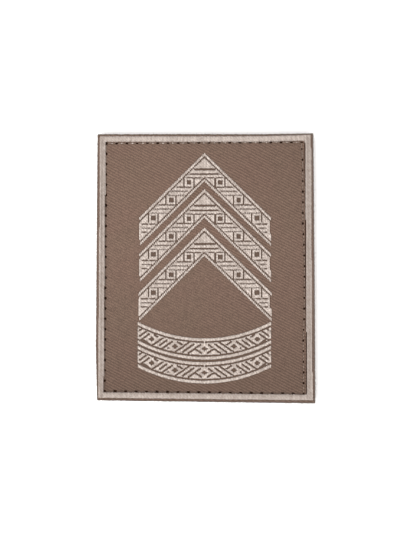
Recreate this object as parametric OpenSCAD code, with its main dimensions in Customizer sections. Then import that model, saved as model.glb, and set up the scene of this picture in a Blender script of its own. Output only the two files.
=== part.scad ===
// Rank patch: a woven cloth face with a satin border, three chevrons and two
// rockers, sewn onto a backing of hook tape. Lengths are in millimetres.
// The patch lies face up on its hooks: +X to its right, +Y to its top, +Z out of its face.
// The origin is under the middle of the patch, on the surface that it lies on.

/* [Patch] */
// Width of the cut patch, at its widest
patch_w = 65.5; // [60:0.5:72]
// Height of the cut patch, at its tallest
patch_h = 80.6; // [76:0.1:88]
// Thickness of the woven cloth face
cloth_t = 1; // [1:0.1:2]
// Space left between pieces that lie on each other
fit_gap = 0.05; // [0.02:0.01:0.1]

/* [Hook backing] */
// Thickness of the tape that carries the hooks
tape_t = 1; // [1:0.1:1.5]
// Height of the field of hooks under the tape
hook_h = 1; // [0.6:0.1:1.5]
// How far the tape's edge lies inside the cut edge of the cloth
tape_inset = 0.2; // [0:0.05:0.5]
// How far the field of hooks lies inside the tape's edge
hook_inset = 0.8; // [0.3:0.1:2]

/* [Border] */
// Width of the satin border
border_w = 1.7; // [1:0.1:2]
// Height of the satin border above the cloth
border_h = 0.5; // [0.2:0.05:0.7]

/* [Seam] */
// Width of the groove that the seam pulls into the cloth
groove_w = 0.5; // [0.3:0.05:0.7]
// Depth of the groove
groove_d = 0.25; // [0.1:0.05:0.5]

/* [Insignia] */
// Distance of the insignia's centre line from the middle of the patch
axis_x = -0.35; // [-1:0.05:1]
// How far the chevrons and rockers reach to the left of their centre line
reach_left = 19.75; // [19:0.05:20.2]
// How far they reach to the right of it
reach_right = 19.65; // [19:0.05:20.2]
// Height of the woven threads above the cloth
relief = 0.25; // [0.1:0.05:0.4]
// Width of the threads that edge each chevron
stroke_w = 0.75; // [0.5:0.05:0.9]
// Width of the gap between the edging and the lace inside it
edge_gap = 0.4; // [0.3:0.05:0.5]

/* [Chevrons] */
// Height of the top chevron's point above the middle of the patch
top_point_y = 33.98; // [33.5:0.02:34.5]
// Height of the middle chevron's point
middle_point_y = 23.16; // [22.8:0.02:23.5]
// Height of the bottom chevron's point
bottom_point_y = 11.74; // [11.4:0.02:12.1]
// Fall of a chevron's left arm for each millimetre outwards
left_slope = 0.995; // [0.96:0.001:1.02]
// Fall of its right arm
right_slope = 0.971; // [0.96:0.001:1.02]
// Distance down from a chevron's outer edging to its inner edging
chevron_depth = 7.53; // [7.3:0.01:7.8]
// How far the arms of the top and middle chevrons end short of the rockers' ends
upper_short = 0.3; // [0:0.05:0.6]
// How far the arms of the bottom chevron end short of them
bottom_short = 0.1; // [0:0.05:0.6]
// How far the inner edging ends short of the arm's end
inner_short = 0.3; // [0.3:0.05:0.6]
// Width of the strip that joins the lace rows at the end of an arm
end_strip = 0.7; // [0.4:0.1:1]

/* [Chevron lace] */
// Distance down from the point to the middle of the first row of rings
first_ring_y = 8.33; // [8.2:0.01:8.5]
// Distance down from one row of rings to the next
ring_pitch = 5.3; // [5.2:0.01:5.4]
// Width of a ring
ring_w = 2.6; // [2.3:0.1:2.8]
// Height of a ring
ring_h = 2.5; // [2.3:0.1:2.7]
// Width of the square hole in a ring
ring_hole = 1.35; // [0.8:0.05:1.4]
// How much lower the bars lie under the last row of rings than under the others
last_bars_drop = 0.4; // [0:0.05:0.5]
// Width of the gaps between the pieces of lace
lace_gap = 0.37; // [0.3:0.01:0.45]

/* [Rockers] */
// Height of the upper rocker's lowest edging point, below the middle of the patch
upper_rocker_y = -21.24; // [-21.6:0.02:-20.9]
// Height of the lower rocker's lowest edging point
lower_rocker_y = -28.36; // [-28.7:0.02:-28.1]
// Radius of the rockers' curves
rocker_r = 42.5; // [42:0.5:45]
// Distance down from a rocker's upper edging to its lower edging
rocker_depth = 5.56; // [5.4:0.02:5.8]
// Width of the threads that edge each rocker
rocker_stroke_w = 0.92; // [0.6:0.02:1]

/* [Rocker lace] */
// Lean of the rocker's lace rows from level, in degrees
row_lean = 35; // [33:0.5:37]
// Distance down from the rocker's upper edging to its middle ring
rocker_ring_y = 2.72; // [2.6:0.02:2.9]
// Half the width of a row that holds a ring
ring_row_half = 1.6; // [1.5:0.05:1.7]
// Width of the diamond hole in a ring
diamond_w = 1.7; // [1:0.1:1.8]
// Height of the diamond hole in a ring
diamond_h = 1.4; // [0.8:0.1:1.5]
// Width of the short tie that joins the middle ring to the upper edging
tie_w = 0.45; // [0.4:0.05:0.6]

/* [Hidden] */

CLOTH_COLOR = [0.50, 0.41, 0.36];
TAPE_COLOR = [0.36, 0.29, 0.25];
THREAD_COLOR = [0.80, 0.74, 0.69];

// Levels of the layers
cloth_z = hook_h + tape_t + fit_gap;
face_z = cloth_z + cloth_t;
trim_z = face_z + fit_gap;

// The patch's lines run clockwise from the top left. A row is one point, in four columns:
// its share of half the patch's width, how far in from there, and the same two for the height.
// The edge that the patch was cut to by hand, which wanders a little:
CUT_EDGE = [
    [-1.0, 0.50, 1.0, 0.24],
    [0.5, 0.00, 1.0, 0.24],
    [1.0, 0.62, 1.0, 0.00],
    [1.0, 0.24, 0.0, 0.00],
    [1.0, 0.00, -1.0, 0.00],
    [-1.0, 0.36, -1.0, 0.92],
    [-1.0, 0.00, -0.6, 0.00]
];
// The outer side of the border:
BORDER_EDGE = [
    [-1.0, 1.26, 1.0, 0.80],
    [0.5, 0.00, 1.0, 0.78],
    [1.0, 1.34, 1.0, 0.36],
    [1.0, 0.83, -1.0, 0.87],
    [-1.0, 0.64, -1.0, 1.62]
];
// The seam:
SEAM_LINE = [
    [-1.0, 3.15, 1.0, 3.04],
    [1.0, 4.12, 1.0, 2.67],
    [1.0, 3.52, -1.0, 2.95],
    [-1.0, 2.65, -1.0, 3.75]
];

// Level gaps in a chevron's lace, in two columns: distance down to the gap's middle, and width.
// Above the first row of rings, counted from the point:
CROWN_GAPS = [[4.45, 0.6], [5.85, 0.45], [6.93, 0.35]];
// Under each row of rings, counted from the middle of that row:
BAR_GAPS = [[1.42, 0.37], [2.63, 0.4], [3.85, 0.35]];
// Rows of rings in each arm
ring_rows = 3;

// Gaps between a rocker's slanted rows, in three columns: how far the gap lies from the middle
// ring, measured across the rows, and from where to where it runs along them:
ROW_GAPS = [
    [1.69, 0.15, 1.85], [1.69, 2.45, 4.8], [2.94, 1.7, 6.1], [4.2, 2.2, 7.7],
    [7.3, 6.5, 10.5], [8.5, 7.6, 10.5], [9.75, 8.2, 12.3],
    [13.05, 10.8, 14.8], [14.19, 11.0, 13.8], [15.6, 11.6, 13.2]
];
// Rings of a rocker's half, in two columns: how far out and how far up from the middle ring
ROCKER_RINGS = [[0, 0], [8.79, 0.72], [15.73, 2.91]];
// Gaps along the rings' other sides, in five columns: the ring, 1 for its outer and -1 for its
// inner side, from where to where the gap runs, counted from the ring's middle, and its width:
SIDE_GAPS = [
    [0, 1, -0.2, 2.5, 0.37], [1, -1, -1.6, 0.3, 0.37], [1, 1, 1.15, 1.65, 0.4],
    [2, -1, -1.2, 0.2, 0.37], [2, 1, -0.4, 2, 0.9]
];

// A patch line's points in millimetres
function in_from(share, inset, half) = share * half - sign(share) * inset;
function line_points(rows) = [
    for (row = rows)
        [in_from(row[0], row[1], patch_w / 2), in_from(row[2], row[3], patch_h / 2)]
];

// The inward unit normal of a clockwise line's side from a to b
function inward(a, b) = [b[1] - a[1], a[0] - b[0]] / norm(b - a);
// Where the two sides that meet at point i come together once both are moved inwards by d
function inset_corner(points, i, d) =
    let (
        n = len(points),
        before = inward(points[(i + n - 1) % n], points[i]),
        after = inward(points[i], points[(i + 1) % n])
    )
    points[i] + d * (before + after) / (1 + before * after);
function inset_line(points, d) = [for (i = [0 : len(points) - 1]) inset_corner(points, i, d)];

cut_edge = line_points(CUT_EDGE);
border_edge = line_points(BORDER_EDGE);
seam_line = line_points(SEAM_LINE);
// Radius of the border's round top, from its width and height
border_r = (border_w * border_w / 4 + border_h * border_h) / (2 * border_h);
// Flats that make up the round top
border_flats = 8;

// A band of the chevron's shape between two heights at its centre line, with arms that end
// short of their full reach
module v_band(from_y, to_y, short) {
    left = reach_left - short;
    right = reach_right - short;
    polygon([
        [-left, from_y - left * left_slope], [0, from_y], [right, from_y - right * right_slope],
        [right, to_y - right * right_slope], [0, to_y], [-left, to_y - left * left_slope]
    ]);
}

// How much longer a line straight down through a slanted arm is than one square across it
arm_stretch = norm([1, (left_slope + right_slope) / 2]);
// Half the height of an edging thread, measured straight down through the arm
stroke_half = stroke_w / 2 * arm_stretch;
edge_drop = stroke_half + edge_gap * arm_stretch;

// A level gap right across the lace, y below the point, that ends at the strips on the arms' ends
module level_gap(y, width, short) {
    strips = short + end_strip;
    translate([strips - reach_left, -y - width / 2])
        square([reach_left + reach_right - 2 * strips, width]);
}

// What is cut out of the lace beside and inside one ring
module ring_cuts(x, y) {
    translate([x, -y]) {
        square(ring_hole, center = true);
        for (side = [-1, 1])
            translate([side * (ring_w + lace_gap) / 2, 0])
                square([lace_gap, ring_h + lace_gap], center = true);
    }
}

module chevron_lace(short) {
    difference() {
        v_band(-edge_drop, edge_drop - chevron_depth, short);
        for (gap = CROWN_GAPS)
            level_gap(gap[0], gap[1], short);
        for (k = [0 : ring_rows - 1]) {
            ring_y = first_ring_y + k * ring_pitch;
            ring_cuts((ring_y - chevron_depth / 2) / right_slope, ring_y);
            ring_cuts((chevron_depth / 2 - ring_y) / left_slope, ring_y);
            last_drop = k == ring_rows - 1 ? last_bars_drop : 0;
            for (gap = BAR_GAPS)
                level_gap(ring_y + last_drop + gap[0], gap[1], short);
        }
    }
}

module chevron(point_y, short) {
    color(THREAD_COLOR)
    translate([axis_x, point_y, trim_z])
    linear_extrude(relief) {
        v_band(stroke_half, -stroke_half, short);
        translate([0, -chevron_depth])
            v_band(stroke_half, -stroke_half, short + inner_short);
        chevron_lace(short);
    }
}

// The lower part of a ring-shaped strip that is width wide and passes through the origin
module rocker_stroke() {
    intersection() {
        translate([0, rocker_r])
            difference() {
                circle(rocker_r + rocker_stroke_w / 2, $fn = 180);
                circle(rocker_r - rocker_stroke_w / 2, $fn = 180);
            }
        translate([-reach_left, -1])
            square([reach_left + reach_right, rocker_r / 2]);
    }
}

// The space between a rocker's edgings on one side, as far out as reach, drawn to the right
module rocker_field(reach) {
    inset = rocker_stroke_w / 2 + edge_gap;
    intersection() {
        difference() {
            translate([0, rocker_r - rocker_depth])
                circle(rocker_r - inset, $fn = 180);
            translate([0, rocker_r])
                circle(rocker_r + inset, $fn = 180);
        }
        translate([0, -rocker_depth])
            square([reach, rocker_r / 2]);
    }
}

module rocker_half_lace(reach) {
    difference() {
        rocker_field(reach);
        translate([0, -rocker_ring_y]) {
            for (gap = ROW_GAPS)
                rotate(-row_lean)
                    translate([gap[1], gap[0] - lace_gap / 2])
                        square([gap[2] - gap[1], lace_gap]);
            for (gap = SIDE_GAPS)
                translate(ROCKER_RINGS[gap[0]])
                    rotate(row_lean)
                        scale([1, -gap[1]])
                            translate([gap[2], ring_row_half - lace_gap / 2])
                                square([gap[3] - gap[2], gap[4]]);
            for (ring = ROCKER_RINGS)
                translate(ring)
                    polygon([
                        [-diamond_w / 2, 0], [0, diamond_h / 2],
                        [diamond_w / 2, 0], [0, -diamond_h / 2]
                    ]);
        }
    }
}

module rocker(low_y) {
    tie_h = rocker_ring_y - ring_row_half / cos(row_lean) + lace_gap;
    color(THREAD_COLOR)
    translate([axis_x, low_y, trim_z])
    linear_extrude(relief) {
        rocker_stroke();
        translate([0, -rocker_depth])
            rocker_stroke();
        rocker_half_lace(reach_right);
        mirror([1, 0])
            rocker_half_lace(reach_left);
        translate([-tie_w / 2, -tie_h])
            square([tie_w, tie_h]);
    }
}

// The section of the border, a low round top in flats: distance in from its outer side, and height
function border_section() =
    let (half_angle = asin(border_w / 2 / border_r))
    [
        for (k = [0 : border_flats])
            let (a = half_angle * (2 * k / border_flats - 1))
            [border_w / 2 + border_r * sin(a), border_h + border_r * (cos(a) - 1)]
    ];

// The section carried round the border's outer side, with mitred corners
module border() {
    section = border_section();
    rings = len(section);
    corners = len(border_edge);
    color(THREAD_COLOR)
    translate([0, 0, trim_z])
        polyhedron(
            points = [
                for (s = section)
                    for (p = inset_line(border_edge, s[0]))
                        [p[0], p[1], s[1]]
            ],
            faces = [
                for (k = [0 : rings - 1])
                    for (i = [0 : corners - 1])
                        let (j = (i + 1) % corners, next = (k + 1) % rings)
                        [k * corners + i, k * corners + j, next * corners + j, next * corners + i]
            ]
        );
}

module ground_cloth() {
    color(CLOTH_COLOR)
    difference() {
        translate([0, 0, cloth_z])
            linear_extrude(cloth_t)
                polygon(cut_edge);
        translate([0, 0, face_z - groove_d])
            linear_extrude(2 * groove_d)
                difference() {
                    polygon(inset_line(seam_line, -groove_w / 2));
                    polygon(inset_line(seam_line, groove_w / 2));
                }
    }
}

// The fastening: a tape, and under it the field of hooks as one block of the hooks' height
module hook_backing() {
    color(TAPE_COLOR) {
        translate([0, 0, hook_h])
            linear_extrude(tape_t)
                polygon(inset_line(cut_edge, tape_inset));
        linear_extrude(hook_h)
            polygon(inset_line(cut_edge, tape_inset + hook_inset));
    }
}

module chevron_top() { chevron(top_point_y, upper_short); }
module chevron_middle() { chevron(middle_point_y, upper_short); }
module chevron_bottom() { chevron(bottom_point_y, bottom_short); }
module rocker_upper() { rocker(upper_rocker_y); }
module rocker_lower() { rocker(lower_rocker_y); }

hook_backing();
ground_cloth();
border();
chevron_top();
chevron_middle();
chevron_bottom();
rocker_upper();
rocker_lower();
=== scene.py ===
import math

import bpy
import numpy as np
from mathutils import Matrix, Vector
from mathutils.kdtree import KDTree


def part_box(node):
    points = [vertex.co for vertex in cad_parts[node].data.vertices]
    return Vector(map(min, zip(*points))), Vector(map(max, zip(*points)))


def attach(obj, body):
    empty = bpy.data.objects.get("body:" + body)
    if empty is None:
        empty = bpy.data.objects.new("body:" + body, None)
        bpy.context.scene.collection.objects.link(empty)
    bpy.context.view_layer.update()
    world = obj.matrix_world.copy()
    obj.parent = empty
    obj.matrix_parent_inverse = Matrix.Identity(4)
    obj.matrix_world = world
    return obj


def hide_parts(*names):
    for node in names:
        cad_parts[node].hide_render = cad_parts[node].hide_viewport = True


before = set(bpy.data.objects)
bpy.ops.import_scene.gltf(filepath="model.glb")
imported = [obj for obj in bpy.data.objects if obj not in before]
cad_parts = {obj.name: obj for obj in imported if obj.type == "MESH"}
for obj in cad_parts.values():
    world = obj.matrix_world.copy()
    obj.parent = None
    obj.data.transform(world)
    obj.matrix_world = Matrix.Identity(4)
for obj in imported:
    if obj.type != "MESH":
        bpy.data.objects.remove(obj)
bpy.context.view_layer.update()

MM = 0.001

# The photograph's scale on the patch's face, and the point of the patch in its middle
IMAGE_H = 555
PIXELS_PER_MM = 3.3545
PHOTO_MIDDLE = (0.707 * MM, -2.708 * MM)
CAMERA_HEIGHT = 600 * MM

# The weave: threads run up the patch, and picks cross them
AXIS_X = -0.35 * MM
THREAD_PITCH = 0.21456 * MM
PICK = 0.2213 * MM
RIB_PICKS = 4
COLUMN = 2 * THREAD_PITCH
RIB_SPACING = RIB_PICKS * PICK
RIB_SLOPE = PICK / COLUMN

INSIGNIA = ("chevron_top", "chevron_middle", "chevron_bottom", "rocker_upper", "rocker_lower")


# Node trees

def pick_socket(sockets, key):
    """The socket of that name or number among those that a node shows."""
    shown = [s for s in sockets if s.enabled]
    return shown[key] if isinstance(key, int) else next(s for s in shown if s.name == key)


class Value:
    """What a node gives. Sums, products and the like of such values are made by Math nodes."""

    def __init__(self, graph, socket):
        self.graph = graph
        self.socket = socket

    def __add__(self, other):
        return self.graph.math("ADD", self, other)

    def __sub__(self, other):
        return self.graph.math("SUBTRACT", self, other)

    def __rsub__(self, other):
        return self.graph.math("SUBTRACT", other, self)

    def __mul__(self, other):
        return self.graph.math("MULTIPLY", self, other)

    def __truediv__(self, other):
        return self.graph.math("DIVIDE", self, other)

    def __mod__(self, other):
        return self.graph.math("FLOORED_MODULO", self, other)

    def __pow__(self, other):
        return self.graph.math("POWER", self, other)

    def __gt__(self, other):
        return self.graph.math("GREATER_THAN", self, other)

    def __neg__(self):
        return self * -1.0


class Graph:
    """Adds nodes to a tree. Inputs go by name or number, and take a number, a Value or a list."""

    def __init__(self, tree):
        self.tree = tree

    def node(self, kind, inputs=None, **settings):
        node = self.tree.nodes.new(kind)
        for name, value in settings.items():
            setattr(node, name, value)
        for key, value in (inputs or {}).items():
            for one in value if isinstance(value, list) else [value]:
                self.feed(one, pick_socket(node.inputs, key))
        return node

    def feed(self, value, socket):
        if isinstance(value, Value):
            self.tree.links.new(value.socket, socket)
        else:
            socket.default_value = value

    def out(self, kind, inputs=None, pick=0, **settings):
        return Value(self, pick_socket(self.node(kind, inputs, **settings).outputs, pick))

    def outs(self, kind, inputs=None):
        """All that a node gives, by name."""
        return {s.name: Value(self, s) for s in self.node(kind, inputs).outputs}

    def math(self, operation, *values):
        return self.out("ShaderNodeMath", dict(enumerate(values)), operation=operation)

    def vector(self, operation, *values):
        return self.out("ShaderNodeVectorMath", dict(enumerate(values)), operation=operation)

    def xyz(self, x=0.0, y=0.0, z=0.0):
        return self.out("ShaderNodeCombineXYZ", {"X": x, "Y": y, "Z": z})

    def split(self, vector):
        return list(self.outs("ShaderNodeSeparateXYZ", {0: vector}).values())

    def unit(self, value):
        """The value kept between 0 and 1."""
        return self.out("ShaderNodeClamp", {"Value": value})

    def ramp(self, value, start, width):
        """0 up to the start, then rising to 1 over the width."""
        return self.unit((value - start) / width)

    def wave(self, value, period):
        """1 where value is a whole number of periods, and 0 half way between."""
        return self.math("COSINE", value * (2 * math.pi / period)) * 0.5 + 0.5


class GeometryGraph(Graph):
    """A Geometry Nodes tree with a geometry socket in and out, and named inputs."""

    def __init__(self, name, inputs):
        super().__init__(bpy.data.node_groups.new(name, "GeometryNodeTree"))
        face = self.tree.interface
        face.new_socket("Geometry", in_out="INPUT", socket_type="NodeSocketGeometry")
        for label, kind in {**inputs, "Material": "Material"}.items():
            face.new_socket(label, in_out="INPUT", socket_type="NodeSocket" + kind)
        face.new_socket("Geometry", in_out="OUTPUT", socket_type="NodeSocketGeometry")
        self.given = self.outs("NodeGroupInput")

    def place(self):
        return self.out("GeometryNodeInputPosition")

    def noted(self, name, kind="FLOAT"):
        """The numbers that a point carries under a name."""
        return self.out("GeometryNodeInputNamedAttribute", {"Name": name}, data_type=kind)

    def random(self, low, high, seed, kind="FLOAT"):
        inputs = {"Min": low, "Max": high, "Seed": seed}
        return self.out("FunctionNodeRandomValue", inputs, data_type=kind)

    def note(self, geometry, **numbers):
        """Writes a number on every point, under each name."""
        for name, number in numbers.items():
            inputs = {"Geometry": geometry, "Name": name, "Value": number}
            geometry = self.out("GeometryNodeStoreNamedAttribute", inputs, data_type="FLOAT")
        return geometry

    def choose(self, condition, if_true, if_false):
        inputs = {"Switch": condition, "True": if_true, "False": if_false}
        return self.out("GeometryNodeSwitch", inputs, input_type="FLOAT")

    def move(self, geometry, position):
        return self.out("GeometryNodeSetPosition", {"Geometry": geometry, "Position": position})

    def shift(self, geometry, offset):
        return self.out("GeometryNodeSetPosition", {"Geometry": geometry, "Offset": offset})

    def solid_of(self, socket):
        """The mesh of an object that the tree is given."""
        inputs = {"Object": socket}
        return self.out("GeometryNodeObjectInfo", inputs, "Geometry", transform_space="RELATIVE")

    def beads(self, points):
        """A round bead on every point, with the half size that the point carries."""
        return self.out("GeometryNodeInstanceOnPoints", {
            "Points": points,
            "Instance": self.out("GeometryNodeMeshIcoSphere", {"Radius": 1.0, "Subdivisions": 2}),
            "Scale": self.noted("half_size", "FLOAT_VECTOR"),
        })

    def join(self, parts):
        return self.out("GeometryNodeJoinGeometry", {"Geometry": parts})

    def curve_of(self, edges):
        return self.out("GeometryNodeMeshToCurve", {"Mesh": edges})

    def ringed(self, curve, count):
        """The curve with a number of points, evenly spaced."""
        return self.out("GeometryNodeResampleCurve", {"Curve": curve, "Count": count}, mode="COUNT")

    def ellipse(self, sides, width, height):
        circle = self.out("GeometryNodeCurvePrimitiveCircle", {"Resolution": sides, "Radius": 0.5})
        scale = self.xyz(width, height, 1.0)
        return self.out("GeometryNodeTransform", {"Geometry": circle, "Scale": scale})

    def tube(self, curve, section, scale=1.0, normal="Z_UP"):
        curve = self.out("GeometryNodeSetCurveNormal", {"Curve": curve}, mode=normal)
        return self.out("GeometryNodeCurveToMesh", {
            "Curve": curve, "Profile Curve": section, "Scale": scale, "Fill Caps": True,
        })

    def resample(self, curve, length):
        """The curve with a point at every length along it."""
        inputs = {"Curve": curve, "Length": length}
        return self.out("GeometryNodeResampleCurve", inputs, mode="LENGTH")

    def common(self, *meshes):
        inputs = {0: list(meshes)}
        return self.out("GeometryNodeMeshBoolean", inputs, operation="INTERSECT", solver="MANIFOLD")

    def cut(self, mesh, cutter):
        inputs = {0: mesh, 1: cutter}
        return self.out("GeometryNodeMeshBoolean", inputs, operation="DIFFERENCE", solver="MANIFOLD")

    def close(self, geometry, sharp_angle=math.pi):
        """Ends the tree: instances made real, smooth faces but for sharp edges, and the material."""
        mesh = self.out("GeometryNodeRealizeInstances", {"Geometry": geometry})
        mesh = self.out("GeometryNodeSetShadeSmooth", {"Geometry": mesh})
        angle = self.out("GeometryNodeInputMeshEdgeAngle")
        sharp = self.out("FunctionNodeCompare", {0: angle, 1: sharp_angle})
        inputs = {"Geometry": mesh, "Selection": sharp, "Shade Smooth": False}
        mesh = self.out("GeometryNodeSetShadeSmooth", inputs, domain="EDGE")
        inputs = {"Geometry": mesh, "Material": self.given["Material"]}
        self.node("NodeGroupOutput", {"Geometry": self.out("GeometryNodeSetMaterial", inputs)})
        return self.tree


def grow(name, base, tree, **values):
    """Runs a tree on a base mesh and leaves a plain mesh. Its input "Rib Height" is rib_height here."""
    piece = bpy.data.objects.new(name, base)
    bpy.context.scene.collection.objects.link(piece)
    modifier = piece.modifiers.new(name, "NODES")
    modifier.node_group = tree
    for item in tree.interface.items_tree:
        key = item.name.lower().replace(" ", "_")
        if item.in_out == "INPUT" and key in values:
            modifier[item.identifier] = values.pop(key)
    if values:
        raise ValueError(f"{tree.name} has no input for {sorted(values)}")
    depsgraph = bpy.context.evaluated_depsgraph_get()
    mesh = bpy.data.meshes.new_from_object(piece.evaluated_get(depsgraph), depsgraph=depsgraph)
    piece.modifiers.clear()
    piece.data = mesh
    mesh.name = name
    for i in reversed(range(len(mesh.materials))):
        if mesh.materials[i] is None:
            mesh.materials.pop(index=i)
    return piece


def point_mesh(name, points, edges=(), **notes):
    """A mesh of points and edges. Each note is a number or a vector for every point."""
    mesh = bpy.data.meshes.new(name)
    mesh.from_pydata([tuple(p) for p in points], list(edges), [])
    for key, numbers in notes.items():
        numbers = np.asarray(numbers, np.float32)
        kind, field = ("FLOAT", "value") if numbers.ndim == 1 else ("FLOAT_VECTOR", "vector")
        mesh.attributes.new(key, kind, "POINT").data.foreach_set(field, numbers.ravel())
    return mesh


def ring_mesh(name, loop, z):
    """An outline as a closed ring of edges at one height."""
    count = len(loop)
    edges = [(i, (i + 1) % count) for i in range(count)]
    return point_mesh(name, [(x, y, z) for x, y in loop], edges)


def helper(mesh):
    """An object that a tree reads and that goes once the piece is made."""
    thing = bpy.data.objects.new(mesh.name, mesh)
    bpy.context.scene.collection.objects.link(thing)
    return thing


# Outlines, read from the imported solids

# Points nearer than this are one point
GRAIN = 1e-6


def face_loops(node, level):
    """The outlines of a CAD node's flat faces at one height, anticlockwise, the largest first."""
    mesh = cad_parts[node].data
    corners = [tuple(round(c / GRAIN) for c in v.co) for v in mesh.vertices]
    flat = round(level / GRAIN)
    open_edges = set()
    for face in mesh.polygons:
        around = [corners[i] for i in face.vertices]
        if all(abs(c[2] - flat) <= 1 for c in around):
            for a, b in zip(around, around[1:] + around[:1]):
                if (b, a) in open_edges:
                    open_edges.remove((b, a))
                else:
                    open_edges.add((a, b))
    follow = dict(sorted(open_edges))
    loops = []
    while follow:
        start, point = follow.popitem()
        loop = [start]
        while point != start:
            loop.append(point)
            point = follow.pop(point)
        loop = np.array(loop)[:, :2] * GRAIN
        loops.append(loop if loop_area(loop) > 0 else loop[::-1])
    return sorted(loops, key=loop_area, reverse=True)


def loop_area(loop):
    """An outline's area, which is less than 0 where it runs clockwise."""
    x, y = loop.T
    return 0.5 * float(np.sum(x * np.roll(y, -1) - y * np.roll(x, -1)))


def spans_up(loops, x):
    """Where a line up the patch at x runs inside the outlines, as rows of lower and upper ends."""
    a = np.concatenate(loops)
    b = np.concatenate([np.roll(loop, -1, axis=0) for loop in loops])
    crossed = (a[:, 0] <= x) != (b[:, 0] <= x)
    a = a[crossed]
    b = b[crossed]
    ends = a[:, 1] + (b[:, 1] - a[:, 1]) * (x - a[:, 0]) / (b[:, 0] - a[:, 0])
    return np.sort(ends).reshape(-1, 2)


def side_normals(loop):
    """The outward unit normal of each side, from its corner to the next."""
    along = np.roll(loop, -1, axis=0) - loop
    along = along / np.linalg.norm(along, axis=1)[:, None]
    return np.column_stack([along[:, 1], -along[:, 0]])


def points_along(loop, spacing):
    """Points at about equal steps along an outline, and the outward normal at each."""
    points, normals = [], []
    for start, end, normal in zip(loop, np.roll(loop, -1, axis=0), side_normals(loop)):
        count = max(1, round(np.linalg.norm(end - start) / spacing))
        points += [start + (end - start) * i / count for i in range(count)]
        normals += [normal] * count
    return np.array(points), np.array(normals)


def node_levels(node):
    """The heights of a node's points, from the lowest up."""
    return sorted({round(v.co.z, 6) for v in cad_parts[node].data.vertices})


CLOTH_BACK_Z, CHANNEL_Z, FACE_Z = node_levels("ground_cloth")
FLOOR_Z, TAPE_BACK_Z, TAPE_FACE_Z = node_levels("hook_backing")
BORDER_TOP_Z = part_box("border")[1].z
cut_edge = face_loops("ground_cloth", CLOTH_BACK_Z)[0]
tape_edge = face_loops("hook_backing", TAPE_FACE_Z)[0]
hook_edge = face_loops("hook_backing", FLOOR_Z)[0]


# Materials

def new_material(name, roughness, sheen=0.0, specular=0.5):
    """A material's graph and shader, and the object's own coordinates."""
    material = bpy.data.materials.new(name)
    material.use_nodes = True
    graph = Graph(material.node_tree)
    shader = material.node_tree.nodes["Principled BSDF"]
    shader.inputs["Roughness"].default_value = roughness
    shader.inputs["Sheen Weight"].default_value = sheen
    shader.inputs["Specular IOR Level"].default_value = specular
    return material, graph, shader, graph.out("ShaderNodeTexCoord", pick="Object")


def blend(graph, share, first, second):
    inputs = {"Factor": share, "A": first, "B": second}
    return graph.out("ShaderNodeMix", inputs, data_type="RGBA")


def noise(graph, place, scale, detail=1.0, stretch=(1.0, 1.0, 1.0)):
    """Noise with about scale lumps to a metre, longer where stretch is less than 1."""
    place = graph.vector("MULTIPLY", place, stretch)
    return graph.out("ShaderNodeTexNoise", {"Vector": place, "Scale": scale, "Detail": detail})


def contrast(value, gain, middle=0.5):
    """A value that lies about a half, spread by gain and moved to lie about middle."""
    return (value - 0.5) * gain + middle


def noted_factor(graph, name):
    """The number that the mesh's points carry under a name."""
    return graph.out("ShaderNodeAttribute", pick="Fac", attribute_name=name)


def dress(graph, shader, color, height, depth, strength):
    """Gives a shader its colour, and a relief that is height times depth."""
    graph.feed(color, shader.inputs["Base Color"])
    inputs = {"Height": height, "Distance": depth, "Strength": strength}
    graph.feed(graph.out("ShaderNodeBump", inputs), shader.inputs["Normal"])


def hole_shade(graph, z):
    """How much painted shade the inside of a needle hole gets at a height: 0 at its mouth, and 1
    inside.
    """
    return graph.ramp(FACE_Z - z, HOLE_MOUTH, HOLE_FADE)


def paint_hole_shade(graph, shader, color, sunk):
    """The colour with shade painted dark into the holes, in which nothing gleams."""
    for name in ("Sheen Weight", "Specular IOR Level"):
        gleam = shader.inputs[name]
        graph.feed((1 - sunk) * gleam.default_value, gleam)
    return blend(graph, sunk, color, HOLE_SHADE_COLOR)


# A needle hole is painted dark as shade from this far under the face, over this depth
HOLE_MOUTH = 0.26 * MM
HOLE_FADE = 0.1 * MM
HOLE_SHADE_COLOR = (0.038, 0.018, 0.010, 1)
# The ribs' painted shade and highlight are faint about this place, and clear from this far from it
CALM_SPOT = (-14 * MM, -4 * MM)
CALM_REACH = 28 * MM
# Shade is painted on the ground, darker down the patch, and also upwards and to the right: from where,
# and over what length
PAINTED_SHADE_DOWN = 80 * MM
PAINTED_SHADE_UP = (5 * MM, 30 * MM)
PAINTED_SHADE_RIGHT = (-14 * MM, 42 * MM)
# The seam thread and the tape are grained in these two browns
DARK_BROWNS = ((0.075, 0.050, 0.038, 1), (0.135, 0.095, 0.075, 1))
# How the noise of the fibres is stretched, because they lie up the patch
FIBRE_STRETCH = (1.0, 0.25, 1.0)


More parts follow.
